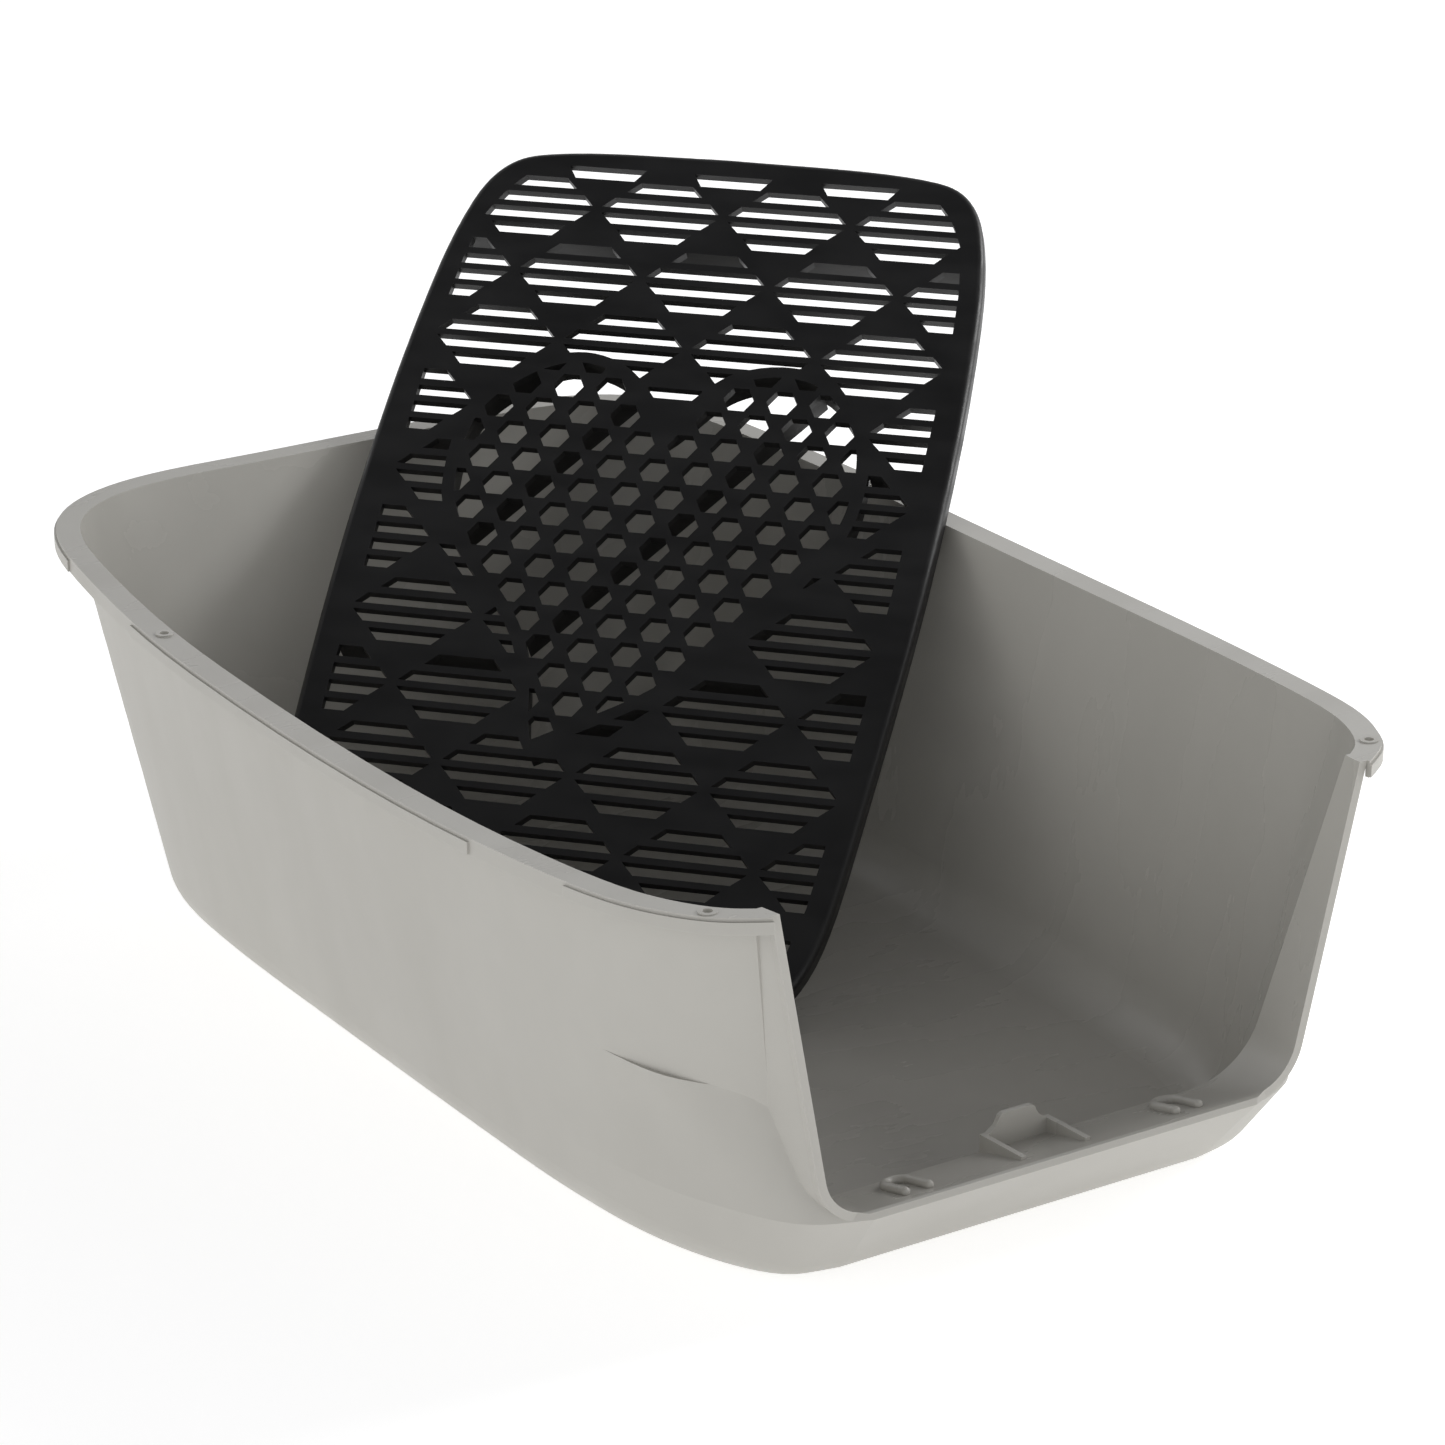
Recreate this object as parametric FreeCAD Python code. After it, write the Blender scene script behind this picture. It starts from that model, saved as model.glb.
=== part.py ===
import FreeCAD, Part
import math
import os

# Open-front litter tray with a loose slotted grate leaning in it.  Millimetres.
# Frame: +Z up, +Y to the back, the low entrance faces -Y, x = 0 is the tray's mirror plane,
# the origin is the centre of the tray's flat base.
V = FreeCAD.Vector

# ---- tray: driving dimensions ----
WALL = 2.5            # wall and floor sheet
FLOOR = 3.0           # floor thickness
RIM_LOW = 166.0       # lowest height of the rim, near the middle of its length
RIM_SAG_Y = 10.8      # where along Y the rim is lowest
RIM_RADIUS = 4617.0   # the rim sags along an arc of this radius, seen from the side
RIM_MEAN = 173.2      # height at which the rim outline below is taken
FLANGE = 10.5         # flange width from the inside of the wall to the outer edge
FLANGE_THICK = 2.6
SKIRT_DROP = 7.0      # height of the flange's downturned edge
SKIRT_THICK = 2.0
SKIRT_STEP = 1.0      # extra thickness of the skirt's stiffer stretches
FLANGE_LAP = 0.8      # the flange runs this far into the wall
BASE_EDGE_R = 25.0    # outside radius between base and walls
MOUTH_HALF = 139.7    # half width between the flange's front ends
DRAFT_TOP = 200.0     # walls are drawn up to here, then trimmed along the rim
REACH = 260.0         # half width of the trimming solids, wider than the tray

# Half outline of the rim's outer edge, from the middle of the back round to the front corner.
RIM_HALF = [(0, 294.5), (55, 294.5), (104, 293.4), (138.5, 283.0), (156, 269), (168.5, 247),
            (176.6, 212), (182.6, 168), (187.2, 120), (189.6, 60), (190.5, 0), (190.2, -60),
            (188.4, -115), (184.8, -165), (180.6, -203), (175.2, -231), (165.5, -254.5),
            (153.5, -270.5), (139.2, -281.0)]
# Half outline of the inside of the tub where the walls would meet the floor.
FLOOR_HALF = [(0, 239.0), (45, 239.0), (84, 238.0), (112, 229.0), (129.5, 213), (140.0, 188),
              (143.8, 155), (145.0, 120), (145.2, 90), (145.2, 50), (145.2, 0), (145.2, -45),
              (145.1, -90), (144.4, -130), (142.0, -161), (137.0, -188), (129.3, -208),
              (118.8, -225), (106.0, -238.3)]

# The rounded front below the entrance lip: its outline's last five points at three heights.
PROW_INSET = 0.2      # the rest of its outline lies this far inside the tub's wall
PROW_CORNERS = [(0.0, [(139.0, -186), (131.5, -210), (120.0, -230), (104.0, -243), (86.0, -246.5)]),
                (38.4, [(147.5, -196), (141.0, -221), (130.5, -246), (114.0, -269), (92.0, -278.3)]),
                (92.0, [(156.5, -200), (150.0, -225), (140.0, -240), (128.0, -252.0), (120.0, -256.0)])]

# Front entrance: the crease where the tub meets the neck, and the lip at the neck's front.
CREASE = dict(y=-268.6, lean=-0.178, half=136.9, flare=0.182, r=30.4, bottom=32.7)
LIP = dict(y=-278.9, lean=-0.027, half=135.65, flare=0.202, r=21.6, bottom=40.9)
LIP_GROW = 1.2        # the lip stands this far outside the neck
LIP_DEPTH = 3.0       # depth of the lip from front to back
CREASE_CORNER = (139.3, -268.6)  # inside corner of the tub at the rim, on the crease
NECK_FULLER = 2.5     # the neck is this much fuller where it runs into the tub
NECK_LAP = 3.0        # and it reaches this far behind the crease

# Entrance sill: it falls from the lip to the crease.
SILL_FALL = math.atan2(8.2, 31.7)
EYE_X = 65.0          # eyelets, either side of the middle
EYE_FRONT = -268.0    # front ends of an eyelet's legs
EYE_Y = -255.5        # centre of its arch
EYE_R = 5.5           # radius of its centre line
EYE_TUBE = 1.9
EYE_LIFT = 1.2        # height of its centre line above the sill
EYE_HOLE_Y = -259.5
EYE_HOLE_R = 2.0
EYE_HOLE_DEPTH = 9.0
TONGUE_Y = -243.6     # front face of the upright tongue
TONGUE_THICK = 2.2
TONGUE_HIGH = 14.0    # above the sill's back edge
TONGUE_LEG_W = 2.4
TONGUE_LEG_FRONT = -269.0

# Pin holes in the flange, each with a low raised ring.
PINS = [(155.6, -261.0), (180.2, 122.0)]
PIN_R = 2.0
PIN_RING_R = 3.8
PIN_RING_H = 0.6

# Stretches of the skirt that are thicker: (y from, y to, smallest x).
SKIRT_BANDS = [(222.0, 310.0, 115.0), (-142.0, 142.0, 100.0), (-300.0, -202.0, 100.0)]

# ---- grate: driving dimensions; lengths marked "pitches" are multiples of PITCH ----
PITCH = 61.465        # spacing of the slot groups along a row
ROW = 0.628           # spacing of the rows of slot groups, pitches
ROWS = 11
GRATE_MID = 1.01      # centre line, pitches from the first crossing
GRATE_THICK = 3.8     # plate
BORDER_DEPTH = 8.0    # height of the downturned border
WEB = 2.5             # thickness of border and ribs
RIB_DEPTH = 15.0      # ribs, from the face
EDGE_ROUND = 3.0      # rounding of the face's outer edge
BAND = 0.095          # solid band round the heart panel, pitches
WALL_INSET = 1.8      # the wall behind the band, in from the heart's outline
HEX_R = 0.118         # circumradius of the panel's holes, pitches
HEX_STEP = 0.33       # spacing of those holes along a row, pitches
HEX_ROW = 0.2313      # spacing of their rows, pitches
HEX_FIRST = (-1.14, 1.4287)
RIBBED_ROWS = (1, 4, 7, 10)
RIB_ABOVE = 0.318     # a rib runs this far above its row's centre, pitches
RIB_ROOT = 0.5        # walls and ribs start this far inside the plate
PANEL_RIBS = (0.394, 1.714)  # where the panel's two ribs cross its middle line, pitches
PANEL_MIDDLE = 2.0375        # that line, pitches
SLOT_LEAST = 12.0     # trimmed slots and holes smaller than this are left out, square mm
HOLE_LEAST = 14.0

# Each group has four slots: top and bottom edge below the row's centre, half widths there.
GROUP = [(-0.275, -0.178, 0.205, 0.300), (-0.120, -0.027, 0.375, 0.462),
         (0.027, 0.128, 0.458, 0.355), (0.180, 0.282, 0.300, 0.208)]
HEAD_SLOT = (0.230, 0.343, 0.310, 0.235)

# Rest pose: the grate stands on its foot edge on the tray's floor, turned across the tray,
# and leans on the rim either side of the back right corner.
GRATE_ORIGIN = V(136.0, 286.2, 264.9)
ROW_DIR = V(0.65839, -0.75267, 0.00348)
DOWN_DIR = V(-0.60320, -0.53039, -0.59568)

# Half outline, pitches from the centre line, head edge to foot edge.
GRATE_HALF = [(0.0, -0.578), (0.45, -0.574), (0.92, -0.566), (1.28, -0.545), (1.53, -0.512),
              (1.72, -0.455), (1.86, -0.34), (1.965, -0.165), (2.035, 0.06), (2.10, 0.40),
              (2.155, 0.92), (2.20, 1.65), (2.22, 2.4), (2.222, 3.3), (2.20, 4.1), (2.165, 4.9),
              (2.125, 5.7), (2.08, 6.13), (2.015, 6.40), (1.925, 6.59), (1.785, 6.74), (1.59, 6.85),
              (1.35, 6.91), (1.0, 6.94), (0.5, 6.955), (0.0, 6.958)]
# Half outline of the slotted field, same measure.
FIELD_HALF = [(0.0, -0.41), (1.50, -0.41), (1.64, -0.27), (1.74, -0.15), (1.82, 0.0), (1.88, 0.14),
              (1.94, 0.55), (1.975, 1.0), (1.985, 2.0), (1.985, 4.3), (1.96, 5.2), (1.92, 5.9),
              (1.84, 6.35), (1.68, 6.60), (1.50, 6.69), (0.0, 6.69)]
HEART_LEFT = [(1.0, 1.90), (0.84, 1.69), (0.62, 1.47), (0.43, 1.375), (0.21, 1.345), (-0.09, 1.44),
              (-0.30, 1.60), (-0.47, 1.80), (-0.56, 2.01), (-0.595, 2.25), (-0.585, 2.5),
              (-0.55, 2.72), (-0.46, 2.94), (-0.33, 3.17), (-0.14, 3.39), (0.05, 3.60),
              (0.23, 3.83), (0.36, 4.08), (0.43, 4.32), (0.49, 4.60), (0.64, 4.87)]
HEART_RIGHT = [(1.0, 1.90), (1.16, 1.69), (1.36, 1.47), (1.55, 1.375), (1.84, 1.335), (2.15, 1.42),
               (2.36, 1.62), (2.51, 1.84), (2.59, 2.1), (2.615, 2.4), (2.59, 2.68), (2.50, 2.95),
               (2.35, 3.24), (2.15, 3.56), (1.93, 3.84), (1.68, 4.13), (1.43, 4.36), (1.05, 4.62),
               (0.64, 4.87)]


def rim_z(y):
    return RIM_LOW + (y - RIM_SAG_Y) ** 2 / (2.0 * RIM_RADIUS)


def shifted(points, d):
    """Outline moved outwards by d along its own normals (inwards when d is negative)."""
    out = []
    last = len(points) - 1
    for i, (x, y) in enumerate(points):
        ax, ay = points[max(i - 1, 0)]
        bx, by = points[min(i + 1, last)]
        tx, ty = bx - ax, by - ay
        n = math.hypot(tx, ty)
        nx, ny = -ty / n, tx / n
        if i == 0:
            nx, ny = 0.0, 1.0
        out.append((x + nx * d, y + ny * d))
    return out


def blend(a, b, t):
    return [(p[0] + (q[0] - p[0]) * t, p[1] + (q[1] - p[1]) * t) for p, q in zip(a, b)]


def half_wire(points, z):
    """Closed wire: smooth half outline, straight front line, centre line."""
    pts = [V(x, y, z) for x, y in points]
    curve = Part.BSplineCurve()
    curve.interpolate(Points=pts, InitialTangent=V(1, 0, 0),
                      FinalTangent=(pts[-1] - pts[-2]).normalize())
    end = V(0, pts[-1].y, z)
    return Part.Wire([curve.toShape(), Part.makeLine(pts[-1], end), Part.makeLine(end, pts[0])])


def mirrored(shape):
    return shape.mirror(V(0, 0, 0), V(1, 0, 0))


def whole(half):
    return half.fuse(mirrored(half)).removeSplitter()


def tub(outset, z_floor, edge_r):
    """Solid filling the tub, moved out from the inside surface by outset."""
    inner_rim = shifted(RIM_HALF, -FLANGE)
    # the front wall is a leaning plane: the corner meets it on the crease
    inner_rim[-1] = CREASE_CORNER
    rim = shifted(inner_rim, outset)
    rim[-1] = (CREASE_CORNER[0] + outset, CREASE_CORNER[1] - outset)
    floor = shifted(FLOOR_HALF, outset)
    floor[-1] = (FLOOR_HALF[-1][0] + outset, FLOOR_HALF[-1][1] - outset)
    grow = (DRAFT_TOP - FLOOR) / (RIM_MEAN - FLOOR)
    drop = (z_floor - FLOOR) / (RIM_MEAN - FLOOR)
    low = half_wire(blend(floor, rim, drop), z_floor)
    high = half_wire(blend(floor, rim, grow), DRAFT_TOP)
    half = Part.makeLoft([low, high], True, True)
    edges = []
    for e in half.Edges:
        box = e.BoundBox
        if box.ZMax < z_floor + 0.01 and box.XMax > 1.0:
            edges.append(e)
    half = half.makeFillet(edge_r, edges)
    return whole(half)


def u_wire(u, grow, extra_y=0.0):
    """U-shaped closed wire in the leaning plane of u, grown outwards by grow."""
    flare = u["flare"]
    slope = math.hypot(1.0, flare)
    r = u["r"] + grow
    z0 = u["bottom"] - grow
    zc = z0 + r
    x_at = lambda z: u["half"] + grow * slope + flare * (z - RIM_MEAN)
    xc = x_at(zc) - r * slope
    a = math.atan2(-flare, 1.0)
    t1 = (xc + r * math.cos(a), zc + r * math.sin(a))
    m = (a - math.pi / 2) / 2
    t2 = (xc + r * math.cos(m), zc + r * math.sin(m))
    t3 = (xc, z0)

    def at(x, z):
        return V(x, u["y"] + u["lean"] * (z - RIM_MEAN) + extra_y, z)
    up = (x_at(DRAFT_TOP), DRAFT_TOP)
    right = [at(*up), at(*t1), at(*t2), at(*t3)]
    left = [at(-p[0], p[1]) for p in (up, t1, t2, t3)]
    return Part.Wire([Part.makeLine(right[0], right[1]),
                      Part.Arc(right[1], right[2], right[3]).toShape(),
                      Part.makeLine(right[3], left[3]),
                      Part.Arc(left[3], left[2], left[1]).toShape(),
                      Part.makeLine(left[1], left[0]),
                      Part.makeLine(left[0], right[0])])


def make_prow():
    """Rounded front of the tub: it bulges forward under the lip and fades into the corners."""
    outset = WALL - PROW_INSET
    rim = shifted(RIM_HALF, outset - FLANGE)
    floor = shifted(FLOOR_HALF, outset)
    wires = []
    for z, corner in PROW_CORNERS:
        side = blend(floor, rim, (z - FLOOR) / (RIM_MEAN - FLOOR))
        wires.append(half_wire(side[:-5] + corner, z))
    half = Part.makeLoft(wires, True, True)
    edges = [e for e in half.Edges if e.BoundBox.ZMax < 0.01 and e.BoundBox.XMax > 1.0]
    return whole(half.makeFillet(BASE_EDGE_R, edges))


def under_rim(drop_top, height):
    """Slab that follows the rim's sag: its top is drop_top below the rim."""
    centre = V(-REACH, RIM_SAG_Y, RIM_LOW + RIM_RADIUS)

    def disc(radius):
        return Part.makeCylinder(radius, 2 * REACH, centre, V(1, 0, 0))
    top = RIM_RADIUS + drop_top
    slab = disc(top + height).cut(disc(top))
    keep = Part.makeBox(2 * REACH, 700, 80, V(-REACH, -350, 130))
    return slab.common(keep)


def above_rim():
    centre = V(-REACH, RIM_SAG_Y, RIM_LOW + RIM_RADIUS)
    keep = Part.makeBox(2 * REACH, 700, 120, V(-REACH, -350, 130))
    return Part.makeCylinder(RIM_RADIUS, 2 * REACH, centre, V(1, 0, 0)).common(keep)


def rim_plan(inset):
    """Upright prism inside the rim outline moved in by inset, both halves."""
    wire = half_wire(shifted(RIM_HALF, -inset), 120)
    return whole(Part.Face(wire).extrude(V(0, 0, 90)))


def sill_z(y):
    return CREASE["bottom"] - (y + 243.6) * math.tan(SILL_FALL)


def both_x(shape):
    return [shape, mirrored(shape)]


def eyelet():
    """Rounded rib in the shape of an arch, lying on the sill and open towards the lip."""
    leg = (EYE_Y - EYE_FRONT) / math.cos(SILL_FALL)
    arch = Part.makeTorus(EYE_R, EYE_TUBE, V(0, 0, 0), V(0, 0, 1), -180, 180, 180)
    parts = [arch]
    for side in (-EYE_R, EYE_R):
        parts.append(Part.makeCylinder(EYE_TUBE, leg, V(side, 0, 0), V(0, -1, 0)))
        parts.append(Part.makeSphere(EYE_TUBE, V(side, -leg, 0)))
    rib = parts[0].fuse(parts[1:])
    rib.rotate(V(0, 0, 0), V(1, 0, 0), -math.degrees(SILL_FALL))
    rib.translate(V(EYE_X, EYE_Y, sill_z(EYE_Y) + EYE_LIFT))
    return rib


def tongue():
    """Upright plate with rounded shoulders at the back of the sill, and its two legs."""
    foot = sill_z(TONGUE_Y) - 2.0
    top = sill_z(TONGUE_Y) + TONGUE_HIGH
    y = TONGUE_Y
    pts = [V(0, y, foot), V(15, y, foot), V(15, y, top - 8), V(10.8, y, top - 5.2),
           V(9.6, y, top - 3.5), V(8.5, y, top - 1.0), V(7.0, y, top), V(0, y, top)]
    edges = [Part.makeLine(pts[0], pts[1]), Part.makeLine(pts[1], pts[2]),
             Part.makeLine(pts[2], pts[3]), Part.Arc(pts[3], pts[4], pts[5]).toShape(),
             Part.makeLine(pts[5], pts[6]), Part.makeLine(pts[6], pts[7]),
             Part.makeLine(pts[7], pts[0])]
    half = Part.Face(Part.Wire(edges)).extrude(V(0, TONGUE_THICK, 0))
    plate = whole(half)
    x = 14.2
    y_back = y + TONGUE_THICK
    front = sill_z(TONGUE_LEG_FRONT)
    side = [V(x, TONGUE_LEG_FRONT, front - 2), V(x, TONGUE_LEG_FRONT, front + 1.4),
            V(x, y_back, foot + 8.5), V(x, y_back, foot)]
    leg = Part.Face(Part.makePolygon(side + [side[0]])).extrude(V(TONGUE_LEG_W, 0, 0))
    return plate.fuse(both_x(leg))


def make_tray():
    body = tub(WALL, 0.0, BASE_EDGE_R)
    neck_out = Part.makeLoft([u_wire(CREASE, WALL + NECK_FULLER, NECK_LAP), u_wire(LIP, WALL)],
                             True, True)
    prow = make_prow()
    lip_ring = Part.makeLoft([u_wire(LIP, WALL + LIP_GROW, LIP_DEPTH), u_wire(LIP, WALL + LIP_GROW)],
                             True, True)
    body = body.fuse([neck_out, prow, lip_ring])
    cavity = tub(0.0, FLOOR, BASE_EDGE_R - WALL)
    # the cut runs past the crease into the tub, and past the lip into the open
    neck_in = Part.makeLoft([u_wire(CREASE, 0.0, 6.0), u_wire(CREASE, 0.0),
                             u_wire(LIP, 0.0, -0.01), u_wire(LIP, 0.0, -12.0)], True, True)
    body = body.cut([cavity, neck_in])
    body = body.cut(above_rim())
    # flange and its downturned edge
    inside = rim_plan(FLANGE - FLANGE_LAP)
    flange = rim_plan(0.0).cut(inside).common(under_rim(0.0, FLANGE_THICK))
    skirt = rim_plan(0.0).cut(rim_plan(SKIRT_THICK)).common(under_rim(0.0, SKIRT_DROP))
    mouth = Part.makeBox(2 * MOUTH_HALF, 80, 200, V(-MOUTH_HALF, -330, 60))
    ring = flange.fuse(skirt).cut(mouth)
    thick = rim_plan(-SKIRT_STEP).cut(rim_plan(0.3)).common(under_rim(1.5, SKIRT_DROP - 1.9))
    bands = []
    for y0, y1, x0 in SKIRT_BANDS:
        span = Part.makeBox(200 - x0, y1 - y0, 100, V(x0, y0, 120))
        bands.append(thick.common(span).cut(mouth))
        bands.append(thick.common(mirrored(span)).cut(mouth))
    details = both_x(eyelet()) + [tongue()]
    holes = both_x(Part.makeCylinder(EYE_HOLE_R, 30, V(EYE_X, EYE_HOLE_Y,
                                                      sill_z(EYE_HOLE_Y) - EYE_HOLE_DEPTH)))
    for x, y in PINS:
        z = rim_z(y)
        ring_boss = Part.makeCylinder(PIN_RING_R, PIN_RING_H + 1.0, V(x, y, z - 1.0))
        details += both_x(ring_boss)
        holes += both_x(Part.makeCylinder(PIN_R, 12, V(x, y, z - 8)))
    body = body.fuse(ring).fuse(bands).fuse(details).cut(holes)
    return body.removeSplitter()


def on_face(u, v):
    """Point of the grate's face in its own flat frame, from pitches."""
    return V(u * PITCH, -v * PITCH, 0)


def curve_through(points, closed=False):
    c = Part.BSplineCurve()
    c.interpolate([on_face(u, v) for u, v in points], PeriodicFlag=closed)
    return c.toShape()


def flat_shape(points):
    pts = [on_face(u, v) for u, v in points]
    return Part.Face(Part.makePolygon(pts + [pts[0]]))


def inward(points, d):
    """Closed ring of points moved inwards by d pitches (the ring runs clockwise on the face)."""
    n = len(points)
    out = []
    for i, (u, v) in enumerate(points):
        au, av = points[i - 1]
        bu, bv = points[(i + 1) % n]
        tu, tv = bu - au, bv - av
        k = d / math.hypot(tu, tv)
        out.append((u - tv * k, v + tu * k))
    return out


def both_sides(half):
    loop = [(GRATE_MID + x, v) for x, v in half]
    return loop + [(GRATE_MID - x, v) for x, v in reversed(half[1:-1])]


def grate_ring(inset):
    """Face inside the grate's outline, moved in by inset millimetres."""
    loop = inward(both_sides(GRATE_HALF), inset / PITCH)
    return Part.Face(Part.Wire([curve_through(loop, True)]))


def heart_ring(inset):
    """Face inside the heart's outline, moved in by inset millimetres."""
    d = inset / PITCH
    right = inward(HEART_RIGHT, d)
    left = inward(HEART_LEFT[::-1], d)
    right[0] = left[-1] = (HEART_RIGHT[0][0], HEART_RIGHT[0][1] + d * 1.5)
    right[-1] = left[0] = (HEART_RIGHT[-1][0], HEART_RIGHT[-1][1] - d * 1.1)
    return Part.Face(Part.Wire([curve_through(right), curve_through(left)]))


def slot(u, v, sizes):
    top, bottom, half_top, half_bottom = sizes
    return flat_shape([(u - half_top, v + top), (u + half_top, v + top),
                       (u + half_bottom, v + bottom), (u - half_bottom, v + bottom)])


def slots():
    out = [slot(i, -ROW, HEAD_SLOT) for i in range(-1, 4)]
    for j in range(ROWS):
        shift = 0.5 if j % 2 == 0 else 0.0
        for i in range(-2, 4):
            for sizes in GROUP:
                out.append(slot(i + shift, j * ROW, sizes))
    return out


def hexagons():
    out = []
    for k in range(15):
        shift = HEX_STEP / 2 if k % 2 == 0 else 0.0
        for i in range(13):
            cu = HEX_FIRST[0] + shift + i * HEX_STEP
            cv = HEX_FIRST[1] + k * HEX_ROW
            ring = [math.radians(60 * n) for n in range(6)]
            out.append(flat_shape([(cu + HEX_R * math.cos(a), cv + HEX_R * math.sin(a)) for a in ring]))
    return out


def clipped(shapes, keep, drop, least):
    """Parts of the flat shapes inside keep and outside drop, slivers left out."""
    out = []
    for s in shapes:
        spots = [v.Point for v in s.Vertexes]
        kept = [keep.isInside(p, 0.01, True) for p in spots]
        dropped = [drop is not None and drop.isInside(p, 0.01, True) for p in spots]
        if all(kept) and not any(dropped):
            out.append(s)
        elif any(kept) and not all(dropped):
            piece = s.common(keep)
            if any(dropped):
                piece = piece.cut(drop)
            out += [f for f in piece.Faces if f.Area > least]
    return out


def down(shape, start, depth):
    """Prism of a flat shape from start to depth behind the face."""
    return shape.translated(V(0, 0, -start)).extrude(V(0, 0, start - depth))


def strip(u0, v0, u1, v1, wide):
    """Flat strip along a line on the face, wide in millimetres."""
    w = wide / PITCH / 2
    n = math.hypot(u1 - u0, v1 - v0)
    nu, nv = -(v1 - v0) / n * w, (u1 - u0) / n * w
    return flat_shape([(u0 + nu, v0 + nv), (u1 + nu, v1 + nv), (u1 - nu, v1 - nv), (u0 - nu, v0 - nv)])


def make_grate():
    whole_face = grate_ring(0.0)
    field = flat_shape(both_sides(FIELD_HALF))
    inside_border = grate_ring(WEB)
    heart_face = heart_ring(0.0)
    panel = heart_ring(BAND * PITCH)
    blank = whole_face.extrude(V(0, 0, -BORDER_DEPTH))
    top_edges = [e for e in blank.Edges if e.BoundBox.ZMin > -0.01]
    blank = blank.makeFillet(EDGE_ROUND, top_edges)
    blank = blank.cut(down(inside_border, GRATE_THICK, BORDER_DEPTH + 1))
    holes = clipped(slots(), field, heart_face, SLOT_LEAST)
    holes += clipped(hexagons(), panel, None, HOLE_LEAST)
    middle = grate_ring(EDGE_ROUND + WEB)
    blank = blank.cut(down(middle, -1, GRATE_THICK + 1))
    wires = Part.makeCompound([middle.OuterWire] + [f.OuterWire for f in holes])
    pierced = Part.makeFace(wires, "Part::FaceMakerBullseye")
    plate = down(pierced, 0.0, GRATE_THICK)
    wall = heart_ring(WALL_INSET).cut(heart_ring(WALL_INSET + WEB))
    ribs = [down(wall, GRATE_THICK - RIB_ROOT, RIB_DEPTH)]
    flats = []
    for j in RIBBED_ROWS:
        v = j * ROW - RIB_ABOVE
        flats += strip(-1.0, v, 3.02, v, WEB).common(inside_border).cut(heart_face).Faces
    for u in PANEL_RIBS:
        rib = strip(u + 0.6, PANEL_MIDDLE - 0.84, u - 2.1, PANEL_MIDDLE + 2.94, WEB)
        flats += rib.common(panel).Faces
    ribs += [down(f, GRATE_THICK - RIB_ROOT, RIB_DEPTH) for f in flats]
    grate = blank.fuse([plate] + ribs).removeSplitter()
    back = ROW_DIR.cross(DOWN_DIR)
    m = FreeCAD.Matrix(ROW_DIR.x, -DOWN_DIR.x, -back.x, GRATE_ORIGIN.x,
                       ROW_DIR.y, -DOWN_DIR.y, -back.y, GRATE_ORIGIN.y,
                       ROW_DIR.z, -DOWN_DIR.z, -back.z, GRATE_ORIGIN.z, 0, 0, 0, 1)
    grate.Placement = FreeCAD.Placement(m)
    return grate


if __name__ == "__main__":
    os.makedirs("parts", exist_ok=True)
    for name, shape in (("litter_tray", make_tray()), ("litter_grate", make_grate())):
        solid = shape.Solids[0]
        print(name, solid.isValid(), len(shape.Solids), round(solid.Volume / 1000.0, 1), solid.BoundBox)
        solid.exportStep("parts/" + name + ".step")
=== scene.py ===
import bpy
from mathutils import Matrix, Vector

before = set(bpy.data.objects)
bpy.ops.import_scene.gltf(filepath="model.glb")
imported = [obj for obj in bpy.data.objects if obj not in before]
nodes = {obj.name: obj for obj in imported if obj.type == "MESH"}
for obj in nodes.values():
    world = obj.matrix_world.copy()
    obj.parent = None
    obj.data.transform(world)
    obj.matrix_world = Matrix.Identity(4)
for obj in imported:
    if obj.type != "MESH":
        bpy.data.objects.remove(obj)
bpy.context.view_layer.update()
scene = bpy.context.scene


# ---------------------------------------------------------------- material helpers
def new_material(name):
    """Empty material with one Principled shader."""
    m = bpy.data.materials.new(name)
    m.use_nodes = True
    tree = m.node_tree
    tree.nodes.clear()
    out = tree.nodes.new("ShaderNodeOutputMaterial")
    bsdf = tree.nodes.new("ShaderNodeBsdfPrincipled")
    tree.links.new(bsdf.outputs["BSDF"], out.inputs["Surface"])
    return m, tree, bsdf


def noise(tree, scale, detail, stretch=None):
    """Noise fixed to the piece, scale in waves per metre."""
    n = tree.nodes.new("ShaderNodeTexNoise")
    n.inputs["Scale"].default_value = scale
    n.inputs["Detail"].default_value = detail
    coord = tree.nodes.new("ShaderNodeTexCoord")
    source = coord.outputs["Object"]
    if stretch:
        mapping = tree.nodes.new("ShaderNodeMapping")
        mapping.inputs["Scale"].default_value = stretch
        tree.links.new(source, mapping.inputs["Vector"])
        source = mapping.outputs["Vector"]
    tree.links.new(source, n.inputs["Vector"])
    return n.outputs["Fac"]


def ramp(tree, fac, stops):
    """Colour ramp from (position, rgb) stops."""
    r = tree.nodes.new("ShaderNodeValToRGB")
    els = r.color_ramp.elements
    while len(els) < len(stops):
        els.new(0.5)
    for e, (pos, col) in zip(els, stops):
        e.position = pos
        e.color = (*col, 1.0)
    tree.links.new(fac, r.inputs["Fac"])
    return r.outputs["Color"]


def mix(tree, fac, a, b):
    """Colour mix; sockets 0, 6, 7 are the factor and the two colours."""
    m = tree.nodes.new("ShaderNodeMix")
    m.data_type = "RGBA"
    for value, key in ((fac, 0), (a, 6), (b, 7)):
        if hasattr(value, "links"):
            tree.links.new(value, m.inputs[key])
        else:
            m.inputs[key].default_value = value
    return m.outputs[2]


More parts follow.
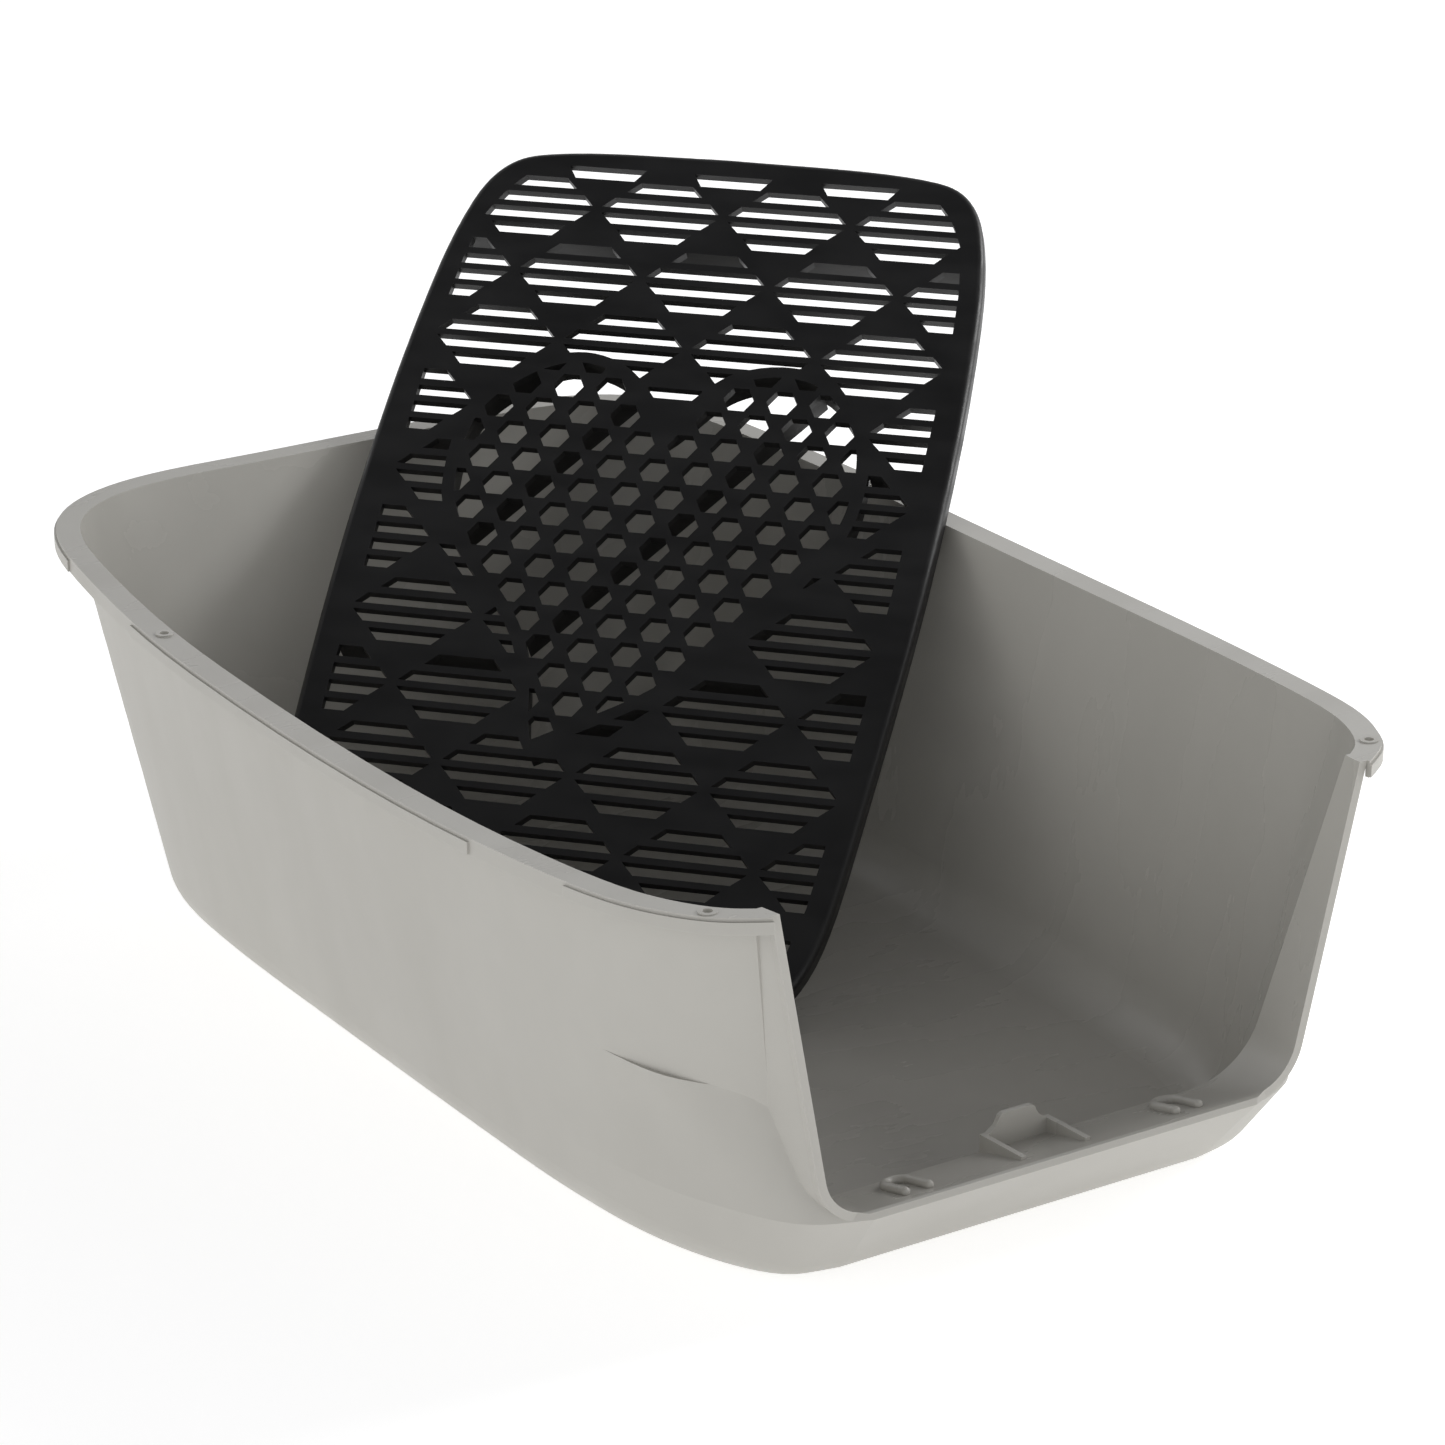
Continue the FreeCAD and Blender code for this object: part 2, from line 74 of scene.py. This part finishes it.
def to_range(tree, fac, low, high, a=0.35, b=0.65):
    """The value's span a..b mapped to low..high; most of a noise lies in 0.35..0.65."""
    r = tree.nodes.new("ShaderNodeMapRange")
    r.inputs["From Min"].default_value = a
    r.inputs["From Max"].default_value = b
    r.inputs["To Min"].default_value = low
    r.inputs["To Max"].default_value = high
    tree.links.new(fac, r.inputs["Value"])
    return r.outputs["Result"]


def bump(tree, bsdf, layers):
    """Stacked bumps, each (height, strength, distance in metres)."""
    last = None
    for height, strength, distance in layers:
        b = tree.nodes.new("ShaderNodeBump")
        b.inputs["Strength"].default_value = strength
        b.inputs["Distance"].default_value = distance
        tree.links.new(height, b.inputs["Height"])
        if last:
            tree.links.new(last, b.inputs["Normal"])
        last = b.outputs["Normal"]
    tree.links.new(last, bsdf.inputs["Normal"])


def edge_mask(tree, radius):
    """One where the surface turns sharply: the bevelled normal leaves the shading normal."""
    bev = tree.nodes.new("ShaderNodeBevel")
    bev.samples = 4
    bev.inputs["Radius"].default_value = radius
    geo = tree.nodes.new("ShaderNodeNewGeometry")
    dot = tree.nodes.new("ShaderNodeVectorMath")
    dot.operation = "DOT_PRODUCT"
    tree.links.new(bev.outputs["Normal"], dot.inputs[0])
    tree.links.new(geo.outputs["Normal"], dot.inputs[1])
    return to_range(tree, dot.outputs["Value"], 1.0, 0.0, 0.80, 0.99)


def inside_mask(tree, centre, soft=0.01):
    """One on surfaces that face the point centre, zero on those that face away from it."""
    geo = tree.nodes.new("ShaderNodeNewGeometry")
    away = tree.nodes.new("ShaderNodeVectorMath")
    away.operation = "SUBTRACT"
    tree.links.new(geo.outputs["Position"], away.inputs[0])
    away.inputs[1].default_value = centre
    dot = tree.nodes.new("ShaderNodeVectorMath")
    dot.operation = "DOT_PRODUCT"
    tree.links.new(away.outputs["Vector"], dot.inputs[0])
    tree.links.new(geo.outputs["True Normal"], dot.inputs[1])
    return to_range(tree, dot.outputs["Value"], 1.0, 0.0, -soft, soft)


# ---------------------------------------------------------------- tray plastic
TUB_CENTRE = (0.0, 0.0, 0.25)      # above the tub, so its inside faces this point
SOCKET_A, SOCKET_B = 2, 3          # float inputs of the mix node


def tray_plastic():
    """Warm grey moulding: fine matte grain outside, smoother inside, painted highlights that
    lighten the edges.
    """
    m, t, b = new_material("tray_plastic")
    cloud = noise(t, 5.0, 4.0)
    mottle = noise(t, 60.0, 5.0)
    base = ramp(t, cloud, [(0.30, (0.405, 0.393, 0.362)), (0.70, (0.435, 0.424, 0.390))])
    base = mix(t, to_range(t, mottle, 0.0, 0.06), base, (0.33, 0.32, 0.295, 1.0))
    # painted highlight: sharp edges lightened as if rounded edges caught the light
    painted_edge_highlight = edge_mask(t, 0.0012)
    base = mix(t, to_range(t, painted_edge_highlight, 0.0, 0.22, 0.0, 1.0), base, (0.55, 0.54, 0.50, 1.0))
    t.links.new(base, b.inputs["Base Color"])
    inner = inside_mask(t, TUB_CENTRE)
    smear = noise(t, 9.0, 6.0, (1.0, 3.0, 1.0))
    outside = to_range(t, smear, 0.44, 0.56)
    inside = to_range(t, smear, 0.20, 0.34)
    rough = t.nodes.new("ShaderNodeMix")
    t.links.new(inner, rough.inputs[0])
    t.links.new(outside, rough.inputs[SOCKET_A])
    t.links.new(inside, rough.inputs[SOCKET_B])
    t.links.new(rough.outputs[0], b.inputs["Roughness"])
    b.inputs["Specular IOR Level"].default_value = 0.45
    grain = noise(t, 900.0, 2.0)
    wave = noise(t, 7.0, 1.0)
    bump(t, b, [(grain, 0.05, 0.0002), (wave, 0.08, 0.002)])
    return m


# ---------------------------------------------------------------- grate plastic
def grate_plastic():
    """Satin black moulding with streaked gloss and painted highlights that lighten the edges.
    """
    m, t, b = new_material("grate_plastic")
    cloud = noise(t, 14.0, 4.0)
    base = ramp(t, cloud, [(0.32, (0.0050, 0.0050, 0.0052)), (0.68, (0.0075, 0.0075, 0.0078))])
    # painted highlight: sharp edges lightened as if rounded edges caught the light
    painted_edge_highlight = edge_mask(t, 0.0010)
    base = mix(t, to_range(t, painted_edge_highlight, 0.0, 0.30, 0.0, 1.0), base, (0.028, 0.028, 0.029, 1.0))
    t.links.new(base, b.inputs["Base Color"])
    streak = noise(t, 30.0, 5.0, (1.0, 1.0, 4.0))
    t.links.new(to_range(t, streak, 0.36, 0.52), b.inputs["Roughness"])
    b.inputs["Specular IOR Level"].default_value = 0.42
    grain = noise(t, 1300.0, 2.0)
    flow = noise(t, 22.0, 2.0)
    bump(t, b, [(grain, 0.06, 0.0002), (flow, 0.05, 0.001)])
    return m


for name, make in (("litter_tray", tray_plastic), ("litter_grate", grate_plastic)):
    piece = nodes[name]
    piece.data.materials.clear()
    piece.data.materials.append(make())

# ---------------------------------------------------------------- floor and light
FLOOR_SIZE = 40.0
FLOOR_GLOW = 0.60                  # keeps the pale floor white away from the tray

floor_mat, _, fb = new_material("studio_floor")
fb.inputs["Base Color"].default_value = (0.80, 0.80, 0.80, 1.0)
fb.inputs["Emission Color"].default_value = (1.0, 1.0, 1.0, 1.0)
fb.inputs["Emission Strength"].default_value = FLOOR_GLOW
fb.inputs["Roughness"].default_value = 0.9
fb.inputs["Specular IOR Level"].default_value = 0.1
bpy.ops.mesh.primitive_plane_add(size=FLOOR_SIZE, location=(0, 0, 0))
floor = bpy.context.object
floor.name = "studio_floor"
floor.data.materials.append(floor_mat)

# white from the horizon up, darker overhead: the inside of the tub stays dim
world = bpy.data.worlds.new("studio")
scene.world = world
world.use_nodes = True
wt = world.node_tree
bg = wt.nodes["Background"]
where = wt.nodes.new("ShaderNodeTexCoord")
parts = wt.nodes.new("ShaderNodeSeparateXYZ")
wt.links.new(where.outputs["Generated"], parts.inputs["Vector"])
sky = wt.nodes.new("ShaderNodeValToRGB")
els = sky.color_ramp.elements
els[0].position, els[0].color = 0.0, (1.0, 1.0, 1.0, 1.0)
els[1].position, els[1].color = 0.92, (0.12, 0.12, 0.125, 1.0)
els.new(0.40).color = (1.0, 1.0, 1.0, 1.0)
els.new(0.64).color = (0.46, 0.46, 0.47, 1.0)
wt.links.new(parts.outputs["Z"], sky.inputs["Fac"])
wt.links.new(sky.outputs["Color"], bg.inputs["Color"])
bg.inputs["Strength"].default_value = 1.0


def area_light(name, spot, aim, size, power):
    """Rectangular light at spot, turned towards aim; power in watts."""
    data = bpy.data.lights.new(name, "AREA")
    data.shape = "RECTANGLE"
    data.size, data.size_y = size
    data.energy = power
    lamp = bpy.data.objects.new(name, data)
    scene.collection.objects.link(lamp)
    lamp.location = spot
    lamp.rotation_mode = "QUATERNION"
    lamp.rotation_quaternion = (Vector(aim) - Vector(spot)).to_track_quat("-Z", "Y")


area_light("side_left", (-2.3, 0.9, 0.75), (0.0, 0.0, 0.1), (1.6, 0.9), 5.0)
area_light("side_right", (1.9, -0.25, 1.2), (-0.1, 0.3, 0.1), (0.9, 0.9), 22.0)

# ---------------------------------------------------------------- camera
CAMERA_SPOT = (-1.0870, -1.7035, 0.9229)
CAMERA_AIM = (0.50733, 0.78032, -0.36569)   # viewing direction
CAMERA_LENS = 127.96                        # millimetres, for the 36 mm sensor

cam_data = bpy.data.cameras.new("main")
cam = bpy.data.objects.new("main", cam_data)
scene.collection.objects.link(cam)
cam_data.sensor_width = 36.0
cam_data.lens = CAMERA_LENS
cam_data.clip_start, cam_data.clip_end = 0.05, 100.0
cam.location = CAMERA_SPOT
cam.rotation_mode = "QUATERNION"
cam.rotation_quaternion = Vector(CAMERA_AIM).to_track_quat("-Z", "Y")
scene.camera = cam
scene.view_settings.view_transform = "Standard"
scene.view_settings.look = "None"
